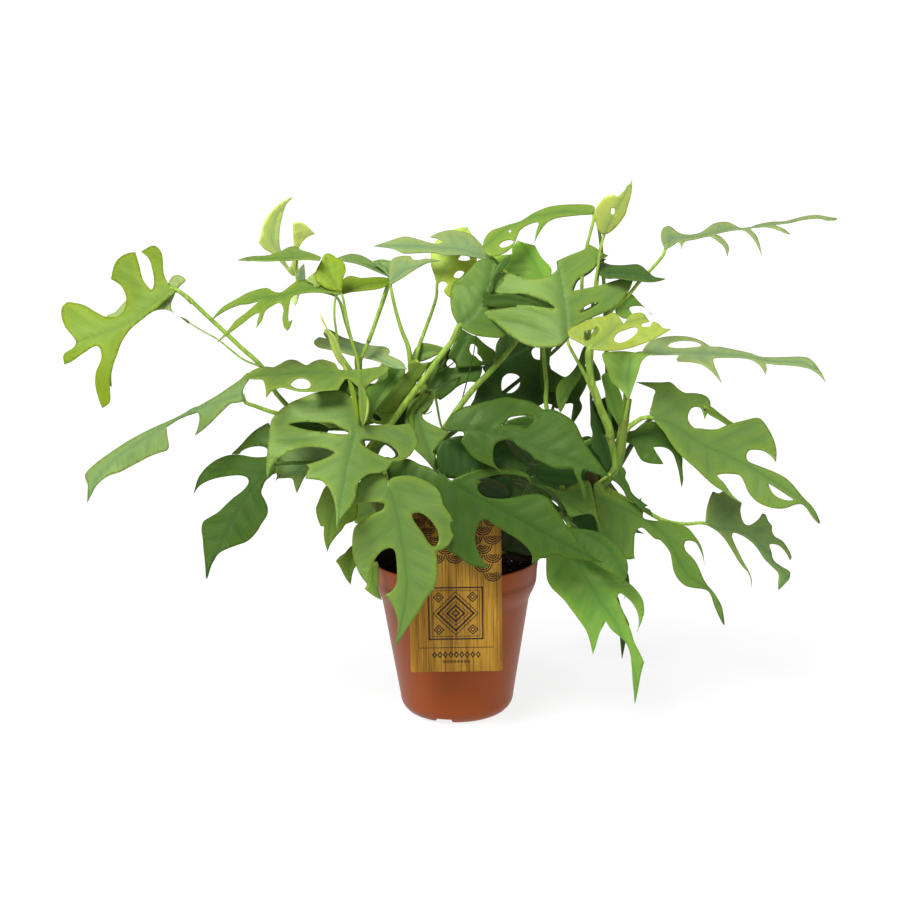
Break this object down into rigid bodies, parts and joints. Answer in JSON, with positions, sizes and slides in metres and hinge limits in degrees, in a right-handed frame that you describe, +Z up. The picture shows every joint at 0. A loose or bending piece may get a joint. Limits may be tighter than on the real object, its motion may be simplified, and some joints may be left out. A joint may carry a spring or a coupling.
{
  "type": "potted mini monstera",
  "caption": "Climbing aroid with split leaves on leaning stems in a round nursery pot of soil, with a flat wood-look card hung on the pot's front.",
  "frame": {"origin": "centre of the pot's flat foot, on the surface it stands on", "axes": "+Z up along the pot's axis, +X to the right when seen from the card's side, -Y towards the card at the front"},
  "size_m": [0.5679, 0.3346, 0.3838],
  "materials": {
    "pot_plastic": "satin terracotta-brown moulded plastic",
    "soil": "loose dark potting soil with a few pale grains",
    "card": "matt card printed with upright wood grain",
    "foliage": "soft satin leaves, mid green, with yellow-green young leaves"
  },
  "bodies": {
    "root": {"pot": "pot_plastic", "soil": "soil", "label": "card", "leafy_stem_left": "foliage", "leafy_stem_middle": "foliage", "leafy_stem_right": "foliage"}
  },
  "joints": []
}
